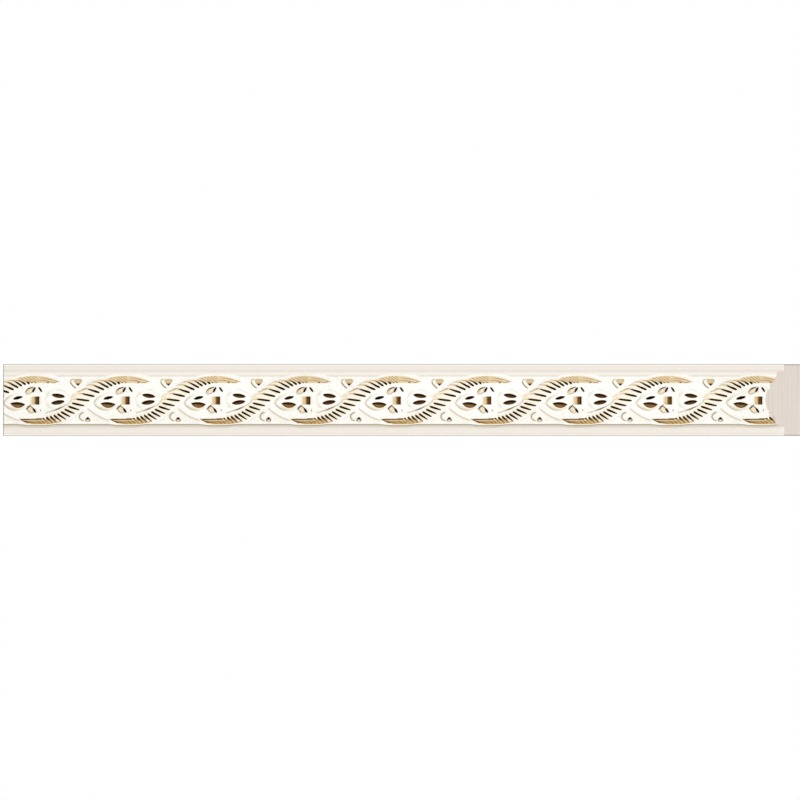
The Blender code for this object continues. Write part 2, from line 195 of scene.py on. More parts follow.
def smooth(low, high, value):
    """0 below low, 1 above high, and an S-curve between them."""
    t = np.clip((value - low) / (high - low), 0, 1)
    return t * t * (3 - 2 * t)


def stroke(distance, core, fade):
    """A drawn line: 1 within core of it on either side, and 0 beyond fade."""
    return 1 - smooth(core, fade, np.abs(distance))


def hump(low, peak, high, value):
    """0 up to low, 1 at peak and 0 again from high on, with an S-curve on either side."""
    return smooth(low, peak, value) * (1 - smooth(peak, high, value))


def wave(x):
    """Z of a strand's middle line: a sine over two repeats, with a little of its third harmonic."""
    return WAVE * np.sin(math.pi * x / REPEAT) + WAVE_THIRD * np.sin(3 * math.pi * x / REPEAT)


def from_wave(x, z):
    """Distance of (x, z) above the middle line, measured square to it."""
    turn = math.pi * x / REPEAT
    slope = math.pi / REPEAT * (WAVE * np.cos(turn) + 3 * WAVE_THIRD * np.cos(3 * turn))
    return (z - wave(x)) / np.hypot(1, slope)


def outer_side(x):
    """Half width of the ribbed strand on its outer side: a bell over the crossing on a constant width."""
    return OUTER_SIDE + (OUTER_AT_CROSSING - OUTER_SIDE) * np.exp(-((x / SWELL_REACH) ** 2))


def inner_side(x):
    """Half width of a strand on the medallion's side: a wider bell over the crossing."""
    return INNER_SIDE + (INNER_AT_CROSSING - INNER_SIDE) * np.exp(-((x / INNER_SWELL_REACH) ** 2))


def crown(z):
    """Thickness of the convex middle: a parabola over the width of the band."""
    return CROWN_DEPTH - (CROWN_DEPTH - BAND_DEPTH) * (z / BAND_HALF) ** 2


def band_edge(m):
    """Distance of the band's edge from the centre line: constant, with a flat-topped bell at each arch."""
    return BAND_HALF + ARCH_BULGE * np.exp(-((m / ARCH_REACH) ** 4))


def border(z):
    """Thickness of the borders: flat, then a quarter ellipse up to the band above and half a cosine below."""
    across = np.clip((z - OVOLO_START) / (OVOLO_END - OVOLO_START), 0, 1)
    ovolo = (BAND_DEPTH - OVOLO_LIP - EDGE_DEPTH) * np.sqrt(1 - across**2)
    down = np.clip((-z - STEP_START) / (STEP_END - STEP_START), 0, 1)
    step = (BAND_DEPTH - EDGE_DEPTH) * (0.5 + 0.5 * np.cos(math.pi * down))
    return EDGE_DEPTH + np.where(z > 0, ovolo, step)


def turned(x, z, middle_x, middle_z, tilt):
    """Coordinates along and across an axis through a middle, turned by tilt degrees."""
    lean = math.radians(tilt)
    dx, dz = x - middle_x, z - middle_z
    return dx * math.cos(lean) + dz * math.sin(lean), dz * math.cos(lean) - dx * math.sin(lean)


def spindle(along, across, length, width, fullness=0.7):
    """1 on the axis of a pointed oval and 0 at its edge: 1 less the square of the share of the width.

    The width narrows to the ends as a power of 1 less the square of the share of the length.
    """
    taper = np.clip(1 - (2 * along / length) ** 2, 0, 1) ** fullness
    share = across / np.maximum(width / 2 * taper, 1e-6)
    return np.clip(1 - share**2, 0, 1)


def cushion(edge, top, rounding=0.8, lip=0.35, flank=1.6):
    """Depth of a raised form, from the distance inside its edge.

    It is top in the middle, sinks by lip within rounding of the edge as a square, and goes on as a flank.
    """
    inside = np.clip(edge / rounding, 0, 1)
    return top + lip * (1 - inside) ** 2 + flank * np.maximum(-edge, 0)


def slot_place(number):
    """X and Z of a slot's middle, from the crossing: on the strand's middle line, or a little below it."""
    x = SLOT_START_BELOW + number * SLOT_SPACING_BELOW + number**2 * SLOT_GATHERING_BELOW
    if number >= 0:
        x = SLOT_START_ABOVE + number * SLOT_SPACING_ABOVE - number**2 * SLOT_GATHERING_ABOVE
    return x, wave(x) - SLOT_SINK - SLOT_SINK_ABOVE * max(number, 0)


def slot_tilt(number):
    """Tilt in degrees, falling to the right: it grows evenly with the slot's number, up to a limit."""
    if number < 0:
        return -min(LEAST_TILT - TILT_BELOW * number, MOST_TILT_BELOW)
    return -min(LEAST_TILT + TILT_ABOVE * number, MOST_TILT_ABOVE)


def rib_number(c, z):
    """Which rib a place is on: a whole number on each slot's line, and even shares between two lines."""
    across = [turned(c, z, *slot_place(number), slot_tilt(number))[1] for number in RIB_LINES]
    shares = [np.clip(a / np.maximum(a - b, 0.1), 0, 1) for a, b in zip(across, across[1:])]
    return RIB_LINES[0] + sum(shares)


def leaf_edge(m, z, leaf):
    """Distance inside a leaf's edge. Its width is an eased sine from the tip, then a quarter ellipse."""
    tip_x, tip_z, length, half_width, shown = leaf
    share = np.clip((m - tip_x) / length, 0, 1)
    swell_tip = np.sin(math.pi / 2 * (np.minimum(share, LEAF_WIDEST) / LEAF_WIDEST) ** LEAF_EASING)
    behind = np.clip((share - LEAF_WIDEST) / (1 - LEAF_WIDEST), 0, 1)
    swell = np.where(share < LEAF_WIDEST, swell_tip, np.sqrt(1 - behind**2))
    at_cut = math.sqrt(max(1 - ((shown - LEAF_WIDEST) / (1 - LEAF_WIDEST)) ** 2, 0))
    swell = np.where(share > shown, at_cut, swell)
    from_tip = (m - tip_x) * math.copysign(1, length)
    beyond_ends = np.minimum(from_tip, 0) + np.minimum(abs(length) - from_tip, 0)
    off_axis = np.hypot(z - tip_z * (1 - share), LEAF_CREST)
    return LEAF_CREST * (half_width * swell - off_axis + LEAF_CREST) + beyond_ends


def shield_edge(x, z, shield):
    """Distance inside a shield and a circle. The shield's half width is 1 less a power of the height."""
    middle, base, height, half_width, round_z, radius = shield
    share = (z - base) / height
    half = half_width * (1 - np.clip(share, 0, 1) ** SHIELD_FULLNESS)
    beside = half - np.abs(x - middle)
    within = np.minimum(np.minimum(beside, share * abs(height)), (1 - share) * abs(height))
    return np.minimum(within, radius - np.hypot(x - middle, z - round_z))


def gap_line(m):
    """Z of the gap under the right leaf: a root of the distance from its tip."""
    return GAP_TIP[1] - GAP_DROP * (np.clip(GAP_TIP[0] - m, 0, GAP_LENGTH) / GAP_LENGTH) ** GAP_POWER


class Carving:
    """Depth below the crown, strength of the brown patina, which also carries painted shade in places, and of
    the grey painted shade, at places given as arrays.

    c counts along X from the nearest crossing, m from the nearest medallion, and arch from the crossing on
    the left of that medallion. ribbed is the distance above the middle line of the strand that has ribs.
    """

    def __init__(self, x, z):
        self.z = z
        self.c = np.mod(x - MEDALLION_AT, REPEAT) - REPEAT / 2
        self.m = np.mod(x - MEDALLION_AT + REPEAT / 2, REPEAT) - REPEAT / 2
        self.arch = self.m + REPEAT / 2
        self.ribbed = from_wave(self.c, z)
        self.ribbed_edge = np.minimum(outer_side(self.c) - self.ribbed, outer_side(self.c) + self.ribbed)
        self.rib = rib_number(self.c, z)
        self.depth = np.full(np.shape(x), GROUND_DROP)
        self.patina_and_shade = np.zeros(np.shape(x))
        self.painted_shade = np.zeros(np.shape(x))
        self.raised_forms()
        self.leaf_outlines()
        self.strand_outlines()
        self.ribs()
        self.crescents()
        self.leaf_pits()
        self.knot()
        self.buds()

    def tint(self, amount, where):
        """Brown patina, which several calls use as painted shade, at least amount where the mask is 1."""
        self.patina_and_shade = np.maximum(self.patina_and_shade, amount * where)

    def shade(self, amount, where):
        """Painted shade, a grey wash that is at least amount where the mask is 1."""
        self.painted_shade = np.maximum(self.painted_shade, amount * where)

    def raised_forms(self):
        """Strands, leaves and knot as cushions on the ground. The least depth of all of them shows."""
        z, c, m, arch = self.z, self.c, self.m, self.arch
        above, below = from_wave(arch, z), from_wave(arch, -z)
        upper = np.minimum(above + inner_side(arch), BEHIND_SIDE - above)
        lower = np.minimum(below + inner_side(REPEAT - arch), BEHIND_SIDE - below)
        under = UNDERPASS_DROP * np.exp(-((c / UNDERPASS_REACH) ** 4))
        forms = [
            cushion(self.ribbed_edge, STRAND_DROP) + NOT_THERE * (np.abs(c) > RIBBED_REACH),
            cushion(upper, STRAND_DROP + np.where(m > 0, under, 0)),
            cushion(lower, STRAND_DROP + np.where(m < 0, under, 0)),
            cushion(KNOT_RADIUS - np.hypot(m / KNOT_WIDTH, z / KNOT_HEIGHT), STRAND_DROP),
        ]
        for leaf in LEAVES:
            forms.append(cushion(leaf_edge(m, z, leaf), STRAND_DROP, LEAF_ROUNDING, LEAF_LIP))
        for form in forms:
            self.depth = np.minimum(self.depth, form)

    def leaf_outlines(self):
        """Painted shade along the leaves: a cream rim and a grey line along the left leaf, a grey rim on the
        right one, and a dark line in the gap below.
        """
        z, m = self.z, self.m
        left_leaf, right_leaf = (leaf_edge(m, z, leaf) for leaf in LEAVES)
        self.tint(0.16, hump(-0.6, 0.2, 2.6, left_leaf) * smooth(-3.0, -5, z) * smooth(-8, -14, m))
        upper_part = np.where(z > -2.8, smooth(-20, -26, m), 1)
        self.shade(0.46, stroke(left_leaf + 0.1, 0.0, 0.9) * smooth(-13, -24, m) * upper_part)
        self.shade(0.16, hump(-0.4, 0.4, 2.4, left_leaf) * smooth(-15, -21, m))
        self.shade(0.17, hump(-0.9, 0.1, 4.0, right_leaf) * smooth(14, 9, m))
        self.shade(0.12, stroke(right_leaf + 0.1, 0.0, 0.8) * smooth(14, 20, m) * (z > 0))
        gap = (z - gap_line(m)) * (1 - smooth(GAP_TIP[0], GAP_TIP[0] + 1, m))
        groove = stroke(gap, 0.1, 0.9) * smooth(6.5, 8, m) * smooth(29.5, 28.5, m)
        self.depth += 0.9 * groove
        self.shade(1.0, groove * (0.3 + 0.6 * np.exp(-(((m - 18) / 3.5) ** 2))))

    def strand_outlines(self):
        """Grooves and faint lines of painted shade along the strands' edges, and a cream patch of painted
        shade where they meet a leaf.
        """
        z, c = self.z, self.c
        self.shade(0.26, stroke(outer_side(c) - self.ribbed, 0.0, 0.9) * smooth(20, 10, c) * smooth(2, 5, c))
        start_x, start_z, slope, bend = BESIDE_BUD
        beside_bud = z - start_z - slope * (c - start_x) - bend * (c - start_x) ** 2
        begun = smooth(-4.6, -3.6, c)
        edge = stroke(beside_bud, 0.1, 0.9) * begun * smooth(5, 2.5, c)
        self.depth += 0.4 * edge
        self.shade(0.4, edge)
        at_tip = smooth(-9.6, -8.8, c) * smooth(-3.5, -5.5, c) * smooth(0.8, 1.8, z)
        self.tint(0.2, at_tip * smooth(0.8, -0.4, z - 4.6 - 0.3 * (c + 9)))
        under_edge = smooth(-2.4, -0.4, beside_bud) * smooth(0.5, 0.0, beside_bud)
        self.tint(0.2, under_edge * begun * smooth(8, 4, c))
        strand_edge = from_wave(c, -z) - SMOOTH_OUTER_SIDE
        strand_reach = smooth(3.5, 6, c) * smooth(26, 20, c)
        line = stroke(strand_edge, 0.1, 1.0) * strand_reach
        self.depth += 0.5 * line
        self.shade(0.34, line)
        self.tint(0.06, stroke(strand_edge - 1.4, 0.3, 2.4) * strand_reach)

    def ribs(self):
        """Slots are gouged between the ribs, and each rib's back is rounded from slot to slot. Painted shade
        tints the ribs' outer parts cream-tan.
        """
        wavy = 0.5 + 0.5 * np.cos(2 * math.pi * self.rib)
        outward = self.ribbed * np.sign(self.c)
        zone = smooth(0, 1.5, self.ribbed_edge) * (np.abs(self.c) < RIBBED_REACH)
        self.depth += RIB_RISE * wavy * zone
        # Painted shade on the ribs' outer parts, away from the crossing
        far = smooth(6, 24, self.c) + smooth(16, 26, -self.c)
        self.tint(0.2, smooth(1.0, 3.8, outward) * zone * far)
        self.tint(0.1, zone * smooth(-5.5, -3.5, self.ribbed))
        for number in SLOTS:
            self.slot(number)

    def slot(self, number):
        """A pointed gouge that widens outwards, near-black with dark patina and painted shade. Low slots turn
        brown there, and high ones have tails.
        """
        half = SLOT_HALF_LENGTH - SLOT_SHORTENING * abs(number)
        half *= 1 - max(number - LAST_FULL_SLOT, 0) / RUN_OUT
        along, across = turned(self.c, self.z, *slot_place(number), slot_tilt(number))
        flare = 1 + SLOT_FLARE * max(-1, min(number / 2, 1)) * np.clip(along / half, -1, 1)
        gouge = spindle(along, across / flare, 2 * half, SLOT_WIDTH, SLOT_FULLNESS)
        self.depth += SLOT_DEPTH * gouge**SLOT_STEEPNESS
        brown = BROWN_PER_SLOT * max(FIRST_BROWN_SLOT - number, 0) * smooth(-0.6, 0.5, along / half)
        olive = 0.09 * math.exp(-((number - 0.5) ** 2) / 2) * smooth(0.5, -0.5, along / half)
        black = spindle(along, across / flare, 2 * half + 0.4, SLOT_WIDTH + BLACK_MARGIN, BLACK_FULLNESS)
        self.tint(1.0, smooth(0.0, 0.25, black) * (1.0 - brown - olive))
        # Painted shade: a tan fringe above the slot's left end
        fringe = spindle(along + 1.0, across - 0.6, 2 * half + 2, 2.6 * SLOT_WIDTH, 0.6)
        self.tint(0.2 + 0.16 * smooth(0, 5, number), fringe * smooth(2, -half, along))
        if 0 <= number < TAIL_SLOTS:
            self.tail(along + half, across, number)
        if number < FIRST_BROWN_SLOT:
            end = spindle(along - half, across, 2.6, 1.3, 0.5)
            self.tint(0.62, smooth(0, 0.5, end))

    def tail(self, along, across, number):
        """A slot runs on as a fine groove, a parabola that bends until it lies along the strand's edge."""
        beyond = -along
        off = across + TAIL_BEND * np.maximum(beyond, 0) ** 2
        reach = smooth(-1.5, 0.0, beyond) * smooth(TAIL_LENGTH, 0.4 * TAIL_LENGTH, beyond)
        groove = stroke(off, 0.1, TAIL_WIDTH) * reach
        self.depth += TAIL_DEPTH * groove
        self.tint(0.38 + 0.045 * number, groove * smooth(TAIL_LENGTH, 0, beyond) ** 0.5)
        if number >= FIRST_STROKED_TAIL:
            self.tint(0.8, stroke(off, 0.2, 0.7) * reach * smooth(3.4, 1.2, beyond))

    def crescents(self):
        """Each floor is finely ribbed and falls evenly from its curved rim to a wall at the straight side."""
        for tip, straight, end, top, to_tip, to_ribs, power in CRESCENTS:
            side, way = math.copysign(1, straight), math.copysign(1, tip)
            m, z = self.m * way, self.z * side
            tip_x, low, far = abs(tip), abs(straight), end * way
            from_top = m - top * way
            fallen = np.where(from_top > 0, to_tip * np.abs(from_top) ** power, to_ribs * from_top**2)
            rim = CRESCENT_TOP - fallen
            reach = smooth(-19, -14, m)
            foot_z = low - np.where(m < far, (far - m) * (0.0 if side > 0 else 0.1), 0)
            edge = np.minimum(z - foot_z, rim - z)
            inside = smooth(0, 0.45, edge) * reach * (m < tip_x)
            fall = np.clip((rim - z) / np.maximum(rim - low, 0.3), 0, 1)
            streaks = np.cos(2 * math.pi * ((rim - z) / FINE_STREAK_PITCH + 0.02 * m))
            hatch = 0.75 * np.cos(2 * math.pi * self.rib) + 0.45 * np.cos(4 * math.pi * self.rib + 1)
            lines = hatch + (streaks - hatch) * (smooth(-1, 5, m) if side > 0 else 0.0)
            taper = smooth(tip_x + 1, tip_x - 8, m)
            body = smooth(far - 4, far + 2, m)
            depth = CRESCENT_DEPTH * fall * (0.35 + 0.65 * taper) * (0.35 + 0.65 * body)
            self.depth += inside * (depth + FINE_RIB_HEIGHT * lines)
            if side > 0:
                cream = np.exp(-(((m - 13) / 3) ** 2) - ((z - 15.9) / 0.7) ** 2)
                tone = 0.38 + 0.13 * lines + 0.08 * smooth(0.7, 0.2, rim - z) - 0.2 * cream
            else:
                tone = 0.28 + 0.31 * smooth(1.2, 2.2, z - low) * smooth(-9, -4, m) + 0.14 * lines
                tone = tone + 0.2 * smooth(-4, -8, m)
            self.tint(1.0, inside * tone)
            self.foot_line(m, z, low, far, tip_x, side)
            # Painted shade: a cream line along the curved rim
            rim_shade = stroke(rim - z, 0.0, 1.2) * smooth(far - 9, far, m) * smooth(tip_x, tip_x - 4, m)
            self.tint(0.1 if side > 0 else 0.17, rim_shade)
            if side < 0:
                on_rim = stroke(rim - z - 0.2, 0.2, 0.65)
                self.tint(0.86, on_rim * smooth(6.5, 8, m) * smooth(tip_x + 0.3, tip_x - 1, m))
                self.tint(0.55, on_rim * smooth(-22, -18, m) * smooth(-6, -9, m))

    def foot_line(self, m, z, low, far, tip_x, side):
        """The dark line at the foot of a crescent's wall, patina and painted shade: whole in the lower one,
        dashed in the upper one.
        """
        if side > 0:
            line = stroke(z - low + 0.25, 0.2, 0.6)
            dashes = np.exp(-((m + 4.1) ** 2)) + 0.85 * np.exp(-(((m + 1.2) / 1.0) ** 2))
            dashes = dashes + np.exp(-(((m - 9.3) / 1.1) ** 4)) + 0.62 * smooth(11.2, 12, m)
            dashed = line * np.clip(dashes, 0.3, 1)
            self.tint(0.97, dashed * smooth(far - 1, far + 2, m) * smooth(17, 15.5, m))
        else:
            line = stroke(z - low - 0.3, 0.25, 0.55)
            line = line * smooth(-5, -3.5, m) * smooth(tip_x - 1, tip_x - 3, m)
            self.tint(0.97, line)
            self.depth += 1.2 * line
            upper = stroke(z - low + 0.35, 0.15, 0.5) * smooth(-7, -5.5, m) * smooth(1.5, 0, m)
            self.tint(0.7, upper)
            for x, z0 in CRESCENT_TEETH:
                tooth = spindle(*turned(self.m, self.z, x, z0, -45), 2.2, 1.4, 0.5)
                self.depth += tooth
                self.tint(0.95, smooth(0, 0.4, tooth))

    def leaf_pits(self):
        """Pits in the leaves: steep at the edge, nearly flat below, dark with patina and painted shade, and
        painted lighter and golden on the lower side, where they face the light.
        """
        for x, z, length, above, below, tilt, patina_and_shade, painted_light, sharpness in LEAF_PITS:
            along, across = turned(self.m, self.z, x, z, tilt)
            share = across / np.where(across > 0, above, below)
            inside = spindle(along, share, length, 2.0, sharpness)
            self.depth += PIT_DEPTH * smooth(0, 0.7, inside)
            lit = smooth(0.3, -0.6, share) * smooth(0.1, 0.7, inside)
            self.tint(1.0, smooth(0.02, 0.25, inside) * (patina_and_shade - painted_light * lit))

    def knot(self):
        """A square hole whose floor slopes down to the right, slits, and two hollow curls, with painted
        shade.
        """
        m, z = self.m, self.z
        for x, z0, length, width, tilt in CURLS:
            along, across = turned(m, z, x, z0, tilt)
            inside = spindle(along, across, length, width, 0.6)
            self.depth += CURL_DEPTH * smooth(0, 0.6, inside)
            # Painted shade: the curls' outlines, brown on one side
            outline = smooth(0, 0.12, inside) * (1 - smooth(0.35, 0.8, inside))
            self.tint(0.19, smooth(0.0, 0.3, inside))
            self.shade(0.42, outline)
            self.tint(0.66, outline * smooth(-0.5, 0.5, across))
        for x, z0, length, width, tilt, patina_and_shade in SLITS:
            along, across = turned(m, z, x, z0, tilt)
            inside = spindle(along, across, length, width, 0.5)
            self.depth += SLOT_DEPTH * inside**0.6
            self.tint(patina_and_shade, smooth(0.0, 0.35, inside))
        edge = np.minimum(np.minimum(m - HOLE_LEFT, HOLE_RIGHT - m), np.minimum(z - HOLE_LOW, HOLE_HIGH - z))
        # Painted shade: the hole darkens towards its deep right side, and a cream patch lies left of it
        down = smooth(HOLE_LEFT + 1.7, HOLE_LEFT + 4.1, m)
        beside = smooth(HOLE_LEFT - 2.2, HOLE_LEFT - 0.4, m) * smooth(HOLE_LEFT + 0.3, HOLE_LEFT, m)
        self.tint(0.26, beside * smooth(-4.4, -3, z) * smooth(3.6, 2.2, z))
        self.depth += (HOLE_LEAST_DEPTH + HOLE_FALL * down) * smooth(0, 0.5, edge)
        self.tint(1.0, smooth(0, 0.4, edge) * (0.38 + 0.38 * down + 0.2 * smooth(0.4, 1.8, m)))

    def buds(self):
        """Pointed recesses in the corners, each in a bud whose edge is part of an oval. The lower recess and
        the buds' edges carry painted shade.
        """
        c, z = self.c, self.z
        upper, lower = (shield_edge(c, z, shield) for shield in BUDS)
        for edge in (upper, lower):
            self.depth += BUD_DEPTH * smooth(-0.2, 0.9, edge)
        inside = smooth(-0.35, 0.15, upper)
        self.tint(1.0, inside * (0.36 + 0.64 * smooth(14.1, 13.5, z) + 0.12 * np.cos(4 * (c + z))))
        # Painted shade: the lower recess is darkest at its top and grey below
        inside = smooth(-0.35, 0.15, lower)
        self.tint(1.0, inside * (0.1 + 0.9 * smooth(-16.5, -16.0, z)))
        self.shade(1.0, inside * (0.2 + 0.5 * smooth(0.9, 1.7, np.abs(c - BUDS[1][0]))))
        for x, z0, half_x, half_z, low, high, end, painted_shade in BUD_ARCS:
            outside = (np.hypot((c - x) / half_x, (z - z0) / half_z) - 1) * min(half_x, half_z)
            reach = smooth(end + 0.6, end - 0.8, c) * smooth(low - 0.3, low + 0.3, z)
            reach = reach * smooth(high + 0.3, high - 0.3, z)
            line = stroke(outside, 0.1, 0.8) * reach
            self.depth += 0.8 * line
            self.shade(painted_shade, line)
            # Painted shade: cream just inside each edge
            inner = smooth(-2.0, -0.2, outside) * smooth(0.5, 0, outside)
            self.tint(0.12, inner * reach * smooth(-11, -9.5, c))


def front_surface(x, z):
    """Thickness of the front, the higher of the carved band and the borders, and masks of its finish and its
    painted shade.
    """
    carving = Carving(x, z)
    edge = band_edge(carving.m)
    beyond = np.maximum(np.abs(z) - edge, 0)
    fade = smooth(edge + 0.2, edge - 1.2, np.abs(z))
    band = crown(np.clip(z, -edge, edge)) - carving.depth * fade - BAND_FLANK * beyond
    ivory = smooth(edge + 0.1, edge + 0.7, np.abs(z))
    patina_and_shade = carving.patina_and_shade * (1 - ivory)
    # Painted shade: a thin line along the band's upper edge, and a dark band under the step below the band
    line = stroke(z - edge - 0.1, 0.2, 0.9) * smooth(14, 20, np.abs(carving.m))
    below = -z - edge
    foot = smooth(-0.2, 0.4, below) * (0.54 * smooth(1.0, 0.4, below) + 0.18 * smooth(2.6, 1.6, below))
    painted_shade = np.maximum(carving.painted_shade, 0.22 * line) + foot
    return np.maximum(border(z), band), {"patina_and_shade": patina_and_shade, "painted_shade": painted_shade, "ivory": ivory}


def front_rows():
    """Z of the rows of the front, and how far the rounded outer edges lie back there."""
    angle = np.linspace(math.pi / 2, 0, ARRIS_ROWS)
    rounding = HALF_WIDTH - ARRIS + ARRIS * np.sin(angle)
    setback = ARRIS * (1 - np.cos(angle))
    middle = np.arange(-FINE_HALF, FINE_HALF + CELL, CELL)
    z = np.concatenate([-rounding, middle, rounding[::-1]])
    back = np.concatenate([setback, np.zeros(len(middle)), setback[::-1]])
    return z, back


def closed_loft(name, x, y, z):
    """A mesh with open ends: one closed loop of rows at each column, joined to the next by quads."""
    rows, columns = y.shape
    corners = np.stack([np.broadcast_to(x, y.shape), y, np.broadcast_to(z[:, None], y.shape)], axis=-1)
    index = np.arange(rows * columns).reshape(rows, columns)
    above = np.roll(index, -1, axis=0)
    quads = np.stack([index[:, :-1], index[:, 1:], above[:, 1:], above[:, :-1]], axis=-1).reshape(-1, 4)
    mesh = bpy.data.meshes.new(name)
    mesh.vertices.add(rows * columns)
    mesh.vertices.foreach_set("co", (corners.reshape(-1, 3) * MM).astype(np.float32).ravel())
    mesh.loops.add(quads.size)
    mesh.loops.foreach_set("vertex_index", quads.astype(np.int32).ravel())
    mesh.polygons.add(len(quads))
    mesh.polygons.foreach_set("loop_start", np.arange(0, quads.size, 4, dtype=np.int32))
    mesh.update(calc_edges=True)
    return mesh


def moulding_loft():
    """Rows of the front and of the flat back at columns that fall on the repeat.

    The patina and the painted shade are drawn as relief too, so that the thinning follows their edges.
    """
    per_repeat = round(REPEAT / CELL)
    pitch = REPEAT / per_repeat
    first = math.floor((-HALF_LENGTH - END_MARGIN - MEDALLION_AT) / pitch)
    last = math.ceil((HALF_LENGTH + END_MARGIN - MEDALLION_AT) / pitch)
    x = MEDALLION_AT + np.arange(first, last + 1) * pitch
    z, setback = front_rows()
    one_repeat = MEDALLION_AT + np.arange(per_repeat) * pitch
    cell_x, cell_z = np.meshgrid(one_repeat, z)
    thickness, masks = front_surface(cell_x, cell_z)
    drawn = thickness - PATTERN_RELIEF * (masks["patina_and_shade"] + masks["painted_shade"])
    columns = np.arange(first, last + 1) % per_repeat
    front = -(drawn[:, columns] - setback[:, None])
    corner = np.array([-BACK_ARRIS, 0.0, 0.0, -BACK_ARRIS])
    corner_z = np.array([HALF_WIDTH, HALF_WIDTH - BACK_ARRIS, BACK_ARRIS - HALF_WIDTH, -HALF_WIDTH])
    y = np.concatenate([front, np.broadcast_to(corner[:, None], (4, len(x)))])
    return closed_loft("moulding_surface", x, y, np.concatenate([z, corner_z]))


def thinned(mesh):
    """The same surface with fewer triangles where it is flat and plain."""
    dense = bpy.data.objects.new("dense", mesh)
    bpy.context.collection.objects.link(dense)
    thin = dense.modifiers.new("thin", "DECIMATE")
    thin.ratio = TRIANGLES / (2 * len(mesh.polygons))
    evaluated = dense.evaluated_get(bpy.context.evaluated_depsgraph_get())
    result = bpy.data.meshes.new_from_object(evaluated)
    bpy.data.objects.remove(dense)
    return result


def places(mesh):
    """X, Y and Z of every vertex, in millimetres."""
    values = np.empty(len(mesh.vertices) * 3, np.float32)
    mesh.vertices.foreach_get("co", values)
    return (values.reshape(-1, 3) / MM).T.astype(float)


def settle(mesh):
    """Moves the front's vertices along Y to the carving's own depth, without the drawn patina."""
    x, y, z = places(mesh)
    thickness, _ = front_surface(x, z)
    y = np.where((np.abs(z) < SETTLED_HALF) & (y < -EDGE_DEPTH / 2), -thickness, y)
    mesh.vertices.foreach_set("co", (np.stack([x, y, z], axis=1) * MM).astype(np.float32).ravel())
    mesh.update()


def cut_ends(mesh):
    """Cuts the left end square and mitres the right end, and closes both with a flat face of sawn foam."""
    bm = bmesh.new()
    bm.from_mesh(mesh)
    ends = (
        (Vector((-HALF_LENGTH * MM, 0, 0)), Vector((-1, 0, 0))),
        (Vector((HALF_LENGTH * MM, 0, 0)), Vector((1, -1, 0)).normalized()),
    )
    for place, normal in ends:
        bmesh.ops.bisect_plane(
            bm,
            geom=bm.verts[:] + bm.edges[:] + bm.faces[:],
            dist=1e-7,
            plane_co=place,
            plane_no=normal,
            clear_outer=True,
        )
        rim = [edge for edge in bm.edges if edge.is_boundary and on_plane(edge, place, normal)]
        for face in bmesh.ops.edgeloop_fill(bm, edges=rim)["faces"]:
            face.material_index = SAWN
            face.smooth = False
    bmesh.ops.recalc_face_normals(bm, faces=bm.faces[:])
    for face in bm.faces:
        if face.material_index == PAINTED:
            face.smooth = True
            if max(abs(vert.co.y) for vert in face.verts) < TOUCH * MM:
                face.material_index = EXTRUDED
    crease_shoulders(bm)
    bm.to_mesh(mesh)
    bm.free()


def on_plane(edge, place, normal):
    """Whether both ends of an edge lie in the plane, within a hair."""
    return all(abs((vert.co - place).dot(normal)) < TOUCH * MM for vert in edge.verts)


def crease_shoulders(bm):
    """Makes an edge outside the carved band hard where its two faces meet at more than the crease's angle."""
    for edge in bm.edges:
        beside_band = min(abs(vert.co.z) for vert in edge.verts) > CREASED_FROM * MM
        if beside_band and edge.calc_face_angle(0) > math.radians(CREASE_ANGLE):
            edge.smooth = False


def add_finish_masks(mesh):
    """Stores the patina, the painted shade, and where the ivory borders are, at each vertex."""
    x, _, z = places(mesh)
    _, masks = front_surface(x, z)
    for name, values in masks.items():
        attribute = mesh.attributes.new(name, "FLOAT", "POINT")
        attribute.data.foreach_set("value", values.astype(np.float32))


def linear(hex_colour):
    """sRGB hex to linear red, green and blue, with alpha 1."""
    values = [int(hex_colour[i : i + 2], 16) / 255 for i in (1, 3, 5)]
    return tuple(v / 12.92 if v <= 0.04045 else ((v + 0.055) / 1.055) ** 2.4 for v in values) + (1.0,)


def add_node(owner, kind, settings=None, links=None, ramp=None):
    """Adds a node. settings holds properties and socket values, and links the outputs that feed sockets."""
    tree = owner.node_tree
    node = tree.nodes.new(kind)
    for key, value in (settings or {}).items():
        if isinstance(key, str) and hasattr(node, key):
            setattr(node, key, value)
        else:
            node.inputs[key].default_value = value
    for key, output in (links or {}).items():
        tree.links.new(output, node.inputs[key])
    if ramp:
        while len(node.color_ramp.elements) < len(ramp):
            node.color_ramp.elements.new(0.5)
        for element, (position, colour) in zip(node.color_ramp.elements, ramp):
            element.position = position
            element.color = linear(colour)
    return node


def new_material(name, roughness, ior):
    """A plain material and its shader."""
    material = bpy.data.materials.new(name)
    material.use_nodes = True
    shader = material.node_tree.nodes["Principled BSDF"]
    shader.inputs["Roughness"].default_value = roughness
    shader.inputs["IOR"].default_value = ior
    return material, shader


